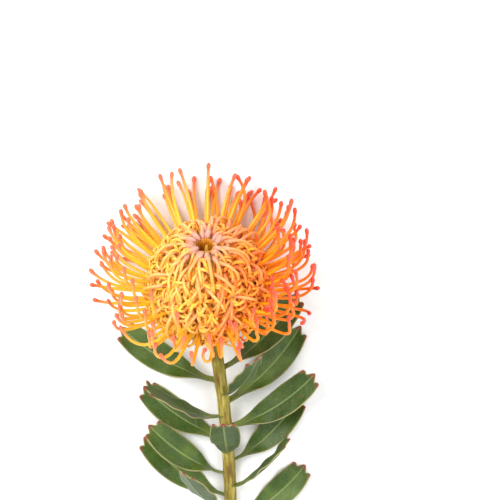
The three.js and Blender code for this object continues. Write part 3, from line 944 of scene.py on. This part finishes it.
# %% The dome
BED = [(0, 18), (4.6, 18), (5.6, 28.5), (9, 28), (15, 24.6), (21, 19), (25.6, 11.5)]
BED += [(27.6, 3), (26.6, -5), (22.5, -12), (15.5, -14.6), (11, -13.2), (0, -13.2)]
BED_BUMPS = 0.7
BED_FLOOR = -11
PIT_RADIUS = 4.7
bm = spun(BED, 64)
bmesh.ops.subdivide_edges(bm, edges=bm.edges[:], cuts=1, use_grid_fill=True)
for v in bm.verts:
    if v.co.z > BED_FLOOR and v.co.xy.length > PIT_RADIUS:
        chance = draw(round(v.co.x * 3) + 40 * round(v.co.y * 3), round(v.co.z))
        v.co += v.co.normalized() * BED_BUMPS * (chance - 0.5)
bmesh.ops.transform(bm, matrix=on_head, verts=bm.verts[:])
AMBER = [(0.3, "ffcc40"), (0.55, "ffd650"), (0.75, "ffe070")]
dome_finish = plain_finish("dome_amber", AMBER, 2.2, 0.8, 0.6)
finish_mesh("receptacle", kept_mesh(bm), dome_finish)

# %% [markdown]
# ## The involucre
#
# Between the stem and the head sits a cup of bracts: small pointed scales, woolly and greyish
# green, that overlap like roof tiles. One scale is bent from a flat grid, given a thickness and
# set round the cup in rows, every second row turned by half a step.

# %% The cup
CUP = [(0, -27.5), (3.7, -27.5), (4.2, -25), (5.2, -22)]
CUP += [(8.2, -17.7), (11.6, -14.2), (11.2, -12.4), (0, -12.4)]
bm = spun(CUP, 40)
bmesh.ops.transform(bm, matrix=on_head, verts=bm.verts[:])
CUP_GREEN = [(0.3, "8c9a5a"), (0.6, "aab878"), (0.8, "c0c494")]
cup_finish = plain_finish("cup_green", CUP_GREEN, 0.8, 0.9, 0.3)
finish_mesh("involucre_cup", kept_mesh(bm), cup_finish, ["involucre"])

# %% One scale
BRACT_LENGTH = 8.6
BRACT_HALF = 3.1
BRACT_THICKNESS = 0.5
bm = bmesh.new()
bmesh.ops.create_grid(bm, x_segments=4, y_segments=6, size=1)
for v in bm.verts:
    u, t = v.co.x, (v.co.y + 1) / 2
    half = BRACT_HALF * (1 - t) ** 0.45 * (0.75 + 0.8 * t * (1 - t)) + 0.12
    v.co = (half * u, -0.9 * u * u * (1 - t) - 0.5 * t * t, BRACT_LENGTH * t)
bmesh.ops.solidify(bm, geom=bm.faces[:], thickness=BRACT_THICKNESS)
bmesh.ops.recalc_face_normals(bm, faces=bm.faces[:])
scale_mesh = kept_mesh(bm)
print("faces of a scale:", len(scale_mesh.polygons))

# %% Scales set in rows
# Each row: distance from the axis, level along it, lean in degrees and number of scales.
BRACT_ROWS = [(4.2, -25.6, 18, 7), (5.0, -23.4, 24, 8), (6.6, -20.8, 32, 9)]
BRACT_ROWS += [(8.6, -18.4, 40, 10), (10.2, -16.6, 46, 11)]
bract_matrices, bract_tones = [], []
for row, (out, level, lean, count) in enumerate(BRACT_ROWS):
    for k in range(count):
        spin = 2 * math.pi * (k + 0.5 * (row % 2)) / count + 0.12 * (draw(k, 120 + row) - 0.5)
        tip = Matrix.Rotation(rad(-lean + 6 * (draw(k, 130 + row) - 0.5)), 4, "X")
        set_out = Matrix.Translation((0, out, level)) @ tip
        bract_matrices.append(along_head @ Matrix.Rotation(spin, 4, "Z") @ set_out)
        bract_tones.append(draw(k, 140 + row))

BRACT_STOPS = [(0, "8f9a5c", "86905a"), (0.5, "b9c58a", "a9b87c")]
BRACT_STOPS += [(0.85, "c9c79a", "c2b98c"), (1, "a97a5c", "9c6248")]
bract_finish = strand_finish("bract_wool", BRACT_STOPS, 0.5, 0.9, subsurface=0.1, specular=0.2)
bracts = placed_copies(scale_mesh, bract_matrices, bract_tones)
finish_mesh("bracts", bracts, bract_finish, ["involucre"])

# %% [markdown]
# ## The stem
#
# The stem is a straight strand once more, with many fine rings, bent along the same curve as the
# solid stem. It swells a little under each leaf, where the leaf's cushion is, and its cut end
# shows the wood and the pith. The skin is yellow-green with brown patches and fine lines that
# run along it. Noise in object space would cut across the bend, so each point of the stem stores
# where it was on the straight strand, and the noise reads that place and is drawn out along it.

# %% The stem's curve
STEM_RADIUS = 3.75
STEM_END = Vector((13.85, -110.2, STEM_RADIUS))
stem_top = HEAD_CENTRE + axis * -26.3
pulls = [stem_top, stem_top - axis * 18, STEM_END + Vector((-0.5, 80, 2)), STEM_END]
CURVE_POINTS = 401


def bezier(t):
    a, b, c, d = pulls
    return a * (1 - t) ** 3 + b * (3 * t * (1 - t) ** 2) + c * (3 * t * t * (1 - t)) + d * t**3


fine = as_points(bezier(k / (CURVE_POINTS - 1)) for k in range(CURVE_POINTS))
stem_run = run_of(fine)
STEM_LENGTH = stem_run[-1]


def stem_point(reach):
    """The middle of the stem at this distance from its top."""
    return Vector(between(reach, stem_run, fine))


print("stem length:", round(STEM_LENGTH, 1), "mm")

# %% Where the leaves stand on it
LEAVES = 14
FIRST_LEAF = 36
LEAF_SPACING = 7.6
LEAF_START, LEAF_TURN = 332.5, 137.5
DOWN = 270
KEPT_OFF_TABLE = 57


def leaf_azimuth(k):
    """The side of the stem for leaf k; none points down, where the table is."""
    azimuth = (LEAF_START - LEAF_TURN * k) % 360
    if azimuth < 180:
        return azimuth
    from_down = azimuth - DOWN
    kept_off = KEPT_OFF_TABLE + abs(from_down) * (90 - KEPT_OFF_TABLE) / 90
    return DOWN + math.copysign(kept_off, from_down)


def leaf_seat(k):
    """Where leaf k leaves the stem: the stem's middle, its way to the head and the leaf's side."""
    reach = FIRST_LEAF + LEAF_SPACING * k
    point = stem_point(reach)
    way = (stem_point(reach - 0.5) - stem_point(reach + 0.5)).normalized()
    stem_right = way.cross(UP).normalized()
    stem_up = stem_right.cross(way)
    azimuth = rad(leaf_azimuth(k))
    return point, way, stem_right * math.cos(azimuth) + stem_up * math.sin(azimuth), azimuth


print("leaf sides:", [round(leaf_azimuth(k)) for k in range(LEAVES)])

# %% The stem's strand
STEM_SIDES = 24
STEM_RINGS = 110
INTO_CUP = 1.5
SWELLING = 0.07
bm = bmesh.new()
bm.from_mesh(straight_strand(STEM_SIDES, STEM_RINGS))
cut_face = max(bm.faces, key=lambda f: f.calc_center_median().z)
for share in (0.12, 0.5):
    bmesh.ops.inset_region(bm, faces=[cut_face], thickness=share, use_even_offset=True)
stem_template = kept_mesh(bm)

reaches = np.linspace(-INTO_CUP, STEM_LENGTH, STEM_RINGS)
stem_path = [tuple(stem_point(max(s, 0)) + axis * max(-s, 0)) for s in reaches]
stem_mesh = bent_copies(stem_template, [stem_path], STEM_RADIUS - 0.15)
place = coordinates(stem_mesh) / MM
ring = np.rint(coordinates(stem_template)[:, 2]).astype(int)
middle = np.array(stem_path)[ring]
away = place - middle
swell = np.zeros(len(place))
for k in range(LEAVES):
    point, way, outward, _ = leaf_seat(k)
    foot = point - way * 1.0
    facing = np.clip(unit(away) @ np.array(outward), 0, 1) ** 5
    near_foot = np.exp(-(((place - np.array(foot)) @ np.array(way)) / 3.2) ** 2)
    swell = np.maximum(swell, facing * near_foot)
set_places(stem_mesh, middle + away * (1 + SWELLING * swell)[:, None])
print("stem rings:", STEM_RINGS, "raised points:", int((swell > 0.5).sum()))

# %% What the stem's skin reads
local = coordinates(stem_template)
cut = (ring == STEM_RINGS - 1) * (1 - np.linalg.norm(local[:, :2], axis=1))
add_attribute(stem_mesh, "cut", cut)
stem_mesh.attributes["tone"].data.foreach_set("value", swell.astype(np.float32))
grain = np.column_stack([local[:, :2] * STEM_RADIUS, reaches[ring]]) * MM
grain_layer = stem_mesh.attributes.new("grain", "FLOAT_VECTOR", "POINT")
grain_layer.data.foreach_set("vector", grain.astype(np.float32).ravel())
print("points of the cut end:", int((cut > 0).sum()))

# %% The stem's skin
recipe = Recipe("stem_skin", roughness=0.62, specular=0.4, subsurface=0.1)
patches = recipe.noise(4, 3.0, (1, 1, 0.25), "grain")
lines = recipe.noise(1.2, 3.0, (1, 1, 0.1), "grain")
speck = recipe.noise(1.1, 1.0)
skin = recipe.tinted(
    recipe.ramp(patches, [(0.32, "80602a"), (0.48, "a4963e"), (0.62, "ccbe62")]),
    [
        (lines, 0.5, 0.66, 0, 0.75, "755028"),
        (recipe.attribute("tone"), 0.35, 0.9, 0, 0.12, "8f7a3c"),
        (speck, 0.68, 0.74, 0, 0.7, "6b4326"),
    ],
)
cut_end = recipe.attribute("cut")
wood = recipe.ramp(cut_end, [(0.05, "cfc58a"), (0.4, "e0d6a8"), (0.62, "f0ead2")])
recipe.paint(recipe.mix(recipe.span(cut_end, 0.01, 0.08), skin, wood))
recipe.bump(lines, 0.25)
recipe.bump(speck, 0.15)
finish_mesh("stem_dressed", stem_mesh, recipe.material, ["stem"])

# %% [markdown]
# ## The leaves
#
# The leaves are leathery blades, narrow at the foot and widest past their middle, with three
# blunt teeth at the tip. Each starts as a flat grid, whose points move to the leaf's own surface:
# a spine that arches out from the stem, and a blade that is channelled along its midrib and
# gently waved. Solidify gives it its thickness. The pale margin and the red-brown tips of the
# teeth are stored as attributes, since they follow the blade's own edge.


# %% The spine of a leaf
LEAF_STEPS = 24
LEAF_LENGTH = 60
LEAF_SPREAD, LYING_SPREAD, SPREAD_VARIES = 43, 9, 8
LYING_TWIST = 0.75


def leaf_spine(k):
    point, stem_way, outward, azimuth = leaf_seat(k)
    length = LEAF_LENGTH * (0.86 + 0.2 * draw(k, 101))
    lying = 1 - max(0, math.sin(azimuth))
    spread = LEAF_SPREAD + LYING_SPREAD * lying + SPREAD_VARIES * (draw(k, 102) - 0.5)
    point = point + outward * (STEM_RADIUS + 1.0)
    spine = []
    for s in range(LEAF_STEPS + 1):
        t = s / LEAF_STEPS
        angle = rad(spread * (1.3 - 0.55 * t))
        way = stem_way * math.cos(angle) + outward * math.sin(angle)
        way = landing(way, point.z - 0.2, (1 - t) * length + 4)
        twist = LYING_TWIST * lying * ease(0.05, 0.4, t)
        face = (stem_way * math.sin(angle) - outward * math.cos(angle)) * (1 - twist) + UP * twist
        face = (face - way * face.dot(way)).normalized()
        spine.append((point, way, face))
        point = point + way * (length / LEAF_STEPS)
    return spine, outward


print("leaf 1 ends at", [round(x) for x in leaf_spine(0)[0][-1][0]])


# %% The blade's surface
HALF_WIDTH = 8.6
WIDEST_AT = 0.62
FOOT_WIDTH = 0.26
LAST_WIDTH_AT = 0.95


def half_width(t):
    """Half the blade's width at t along it: a narrow foot, then a round end."""
    if t < WIDEST_AT:
        swell = math.sin(math.pi / 2 * t / WIDEST_AT) ** 1.4
        return HALF_WIDTH * (FOOT_WIDTH + (1 - FOOT_WIDTH) * swell)
    return HALF_WIDTH * math.sqrt(1 - (0.8 * (t - WIDEST_AT) / (1 - WIDEST_AT)) ** 2)


def tooth_reach(u):
    """How far along the leaf its edge reaches at u across it, from tooth to notch to tooth."""
    return 0.925 + (0.025 + 0.05 * (1 - abs(u))) * abs(math.cos(math.pi * u)) ** 0.7


def leaf_place(spine, outward, k, t, u):
    """The blade's middle surface at t along leaf k and u across it, from -1 to 1."""
    at = t * LEAF_STEPS
    s = min(int(at), LEAF_STEPS - 1)
    point, way, face = (a.lerp(b, at - s) for a, b in zip(spine[s], spine[s + 1]))
    way.normalize()
    face.normalize()
    half = half_width(min(t, LAST_WIDTH_AT))
    wave = 0.8 * u * math.sin(2 * math.pi * (1.3 * t + draw(k, 103)))
    rippling = math.sin(2 * math.pi * (3.7 * t + draw(k, 104) + 0.3 * u))
    ripple = 0.45 * abs(u) ** 3 * rippling * ease(0.1, 0.4, t)
    midrib = 0.35 * math.exp(-((u * half / 0.7) ** 2)) * (1 - 0.7 * t)
    rise = 0.22 * half * abs(u) ** 1.5 + wave + ripple - midrib
    foot = outward * -2.0 * (1 - ease(0, 0.08, t))
    return point + way.cross(face) * (half * u) + face * rise + foot


print("width in mm:", [round(2 * half_width(t / 5), 1) for t in range(5)])

# %% The leaf's finish
recipe = Recipe("leaf_leather", roughness=0.45, specular=0.4, subsurface=0.08)
leather = recipe.noise(0.8, 4.0)
green = recipe.tinted(
    recipe.ramp(recipe.noise(14, 4.0), [(0.3, "263f0e"), (0.5, "395414"), (0.72, "587026")]),
    [
        (recipe.attribute("tone"), 0, 1, 0.45, 0, "1c360c"),
        (leather, 0.35, 0.65, 0, 0.3, "657c30"),
        (recipe.attribute("along"), 0, 0.25, 0.55, 0, "98a052"),
        (recipe.attribute("across"), 0.02, 0.09, 0.4, 0, "a4b46c"),
        (recipe.noise(1.6, 1.0), 0.7, 0.75, 0, 0.7, "7a5334"),
        (recipe.attribute("margin"), 0.3, 0.95, 0, 0.6, "c4b27c"),
    ],
)
recipe.paint(recipe.mix(recipe.attribute("tooth"), green, "8a2f24"))
recipe.bump(leather, 0.18)
recipe.bump(recipe.noise(2.4, 2.0, (1, 0.35, 1)), 0.35)
leaf_leather = recipe.material
print("nodes in the leaf's finish:", len(recipe.nodes))

# %% The blades
ACROSS, ALONG = 18, 44
THICKNESS = 0.6
MARGIN_WIDTH = 0.9
TOOTH_LENGTH = 3.2
MEAN_LENGTH = 56
LEAF_LIES_AT = 0.32


def leaf_numbers(k, t, u):
    """What the finish reads at t along leaf k and u across it."""
    to_side = (1 - abs(u)) * half_width(min(t, LAST_WIDTH_AT))
    to_tip = (tooth_reach(u) - t) * MEAN_LENGTH
    margin = max(0, 1 - min(to_side, to_tip) / MARGIN_WIDTH) * ease(0.08, 0.3, t)
    on_tooth = ease(0.2, 0.8, 0.5 + 0.5 * math.cos(2 * math.pi * u))
    tooth = max(0, 1 - to_tip / TOOTH_LENGTH) * on_tooth
    return {"along": t, "across": abs(u), "margin": margin, "tooth": tooth, "tone": draw(k, 70)}


for k in range(LEAVES):
    spine, outward = leaf_spine(k)
    bm = bmesh.new()
    bmesh.ops.create_grid(bm, x_segments=ACROSS, y_segments=ALONG, size=1)
    numbers = []
    for v in bm.verts:
        u = v.co.x
        t = (v.co.y + 1) / 2 * tooth_reach(u)
        place = leaf_place(spine, outward, k, t, u)
        place.z = max(place.z, LEAF_LIES_AT)
        v.co = place * MM
        numbers.append(leaf_numbers(k, t, u))
    name = f"leaf_{k + 1:02d}"
    leaf = finish_mesh(f"{name}_blade", kept_mesh(bm), leaf_leather, [name])
    for attribute in numbers[0]:
        add_attribute(leaf.data, attribute, [row[attribute] for row in numbers])
    thick = leaf.modifiers.new("thickness", "SOLIDIFY")
    thick.thickness = THICKNESS * MM
    thick.offset = 0

# %% [markdown]
# ## Table, light and camera
#
# The flower lies on a plain pale table. A large soft lamp from the upper left gives the strands
# their highlights, a weaker one fills the other side, and the world is a plain white. The camera
# looks down, leaning a little towards the stem's end.

# %% The table
bm = bmesh.new()
bmesh.ops.create_grid(bm, x_segments=1, y_segments=1, size=3)
floor_mesh = kept_mesh(bm)
table = new_object("table", floor_mesh)
recipe = Recipe("table_white", roughness=0.9, specular=0.2)
paper = recipe.noise(3, 2.0)
recipe.paint(recipe.ramp(paper, [(0.3, "f4f4f4"), (0.7, "f8f8f8")]))
recipe.bump(paper, 0.02)
floor_mesh.materials.append(recipe.material)
table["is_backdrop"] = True
print("table is", [round(x, 1) for x in table.dimensions], "m")

# %% Light
LIT_POINT = Vector((0, 0, 0.03))
world = bpy.data.worlds.new("plain")
bpy.context.scene.world = world
world.use_nodes = True
background = world.node_tree.nodes["Background"]
background.inputs["Color"].default_value = (1, 1, 1, 1)
background.inputs["Strength"].default_value = 0.92


def soft_lamp(name, place, size, power):
    lamp = bpy.data.lights.new(name, "AREA")
    lamp.size = size
    lamp.energy = power
    holder = new_object(name, lamp)
    holder.location = place
    holder.rotation_mode = "QUATERNION"
    holder.rotation_quaternion = (LIT_POINT - Vector(place)).to_track_quat("-Z", "Y")


soft_lamp("key_lamp", (-0.5, 0.5, 0.9), size=0.5, power=10)
soft_lamp("fill_lamp", (0.7, -0.2, 0.8), size=0.8, power=5)
print("lamps:", len(bpy.data.lights))

# %% Camera
CAMERA_TILT = 14
FRAME_PIXELS = 500
PIXEL = 0.55 * MM
HEAD_PIXEL = (208, 286)
DISTANCE = 1.0
SENSOR = 36
back = Vector((0, math.sin(rad(CAMERA_TILT)), math.cos(rad(CAMERA_TILT))))
up_side = Vector((0, math.cos(rad(CAMERA_TILT)), -math.sin(rad(CAMERA_TILT))))
right_side = up_side.cross(back)
middle = FRAME_PIXELS / 2
aim = HEAD_CENTRE * MM + right_side * ((middle - HEAD_PIXEL[0]) * PIXEL)
aim = aim + up_side * ((HEAD_PIXEL[1] - middle) * PIXEL)
camera = bpy.data.cameras.new("camera")
camera.sensor_width = SENSOR
camera.lens = SENSOR * DISTANCE / (FRAME_PIXELS * PIXEL)
eye = new_object("camera", camera)
eye.location = aim + back * DISTANCE
eye.rotation_mode = "QUATERNION"
eye.rotation_quaternion = Matrix((right_side, up_side, back)).transposed().to_quaternion()
bpy.context.scene.camera = eye
bpy.context.scene.view_settings.view_transform = "Standard"
print("lens:", round(camera.lens, 1), "mm")

# %% [markdown]
# ## The size of the solid and the dressed flower
#
# The dressed flower has to keep the size of the solid one, so both boxes are printed.

# %% Size of both boxes
dressed_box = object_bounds()
for name, box in (("solid", cad_box), ("dressed", dressed_box)):
    print(name, "box in mm:", [[round(x / MM, 1) for x in corner] for corner in box])
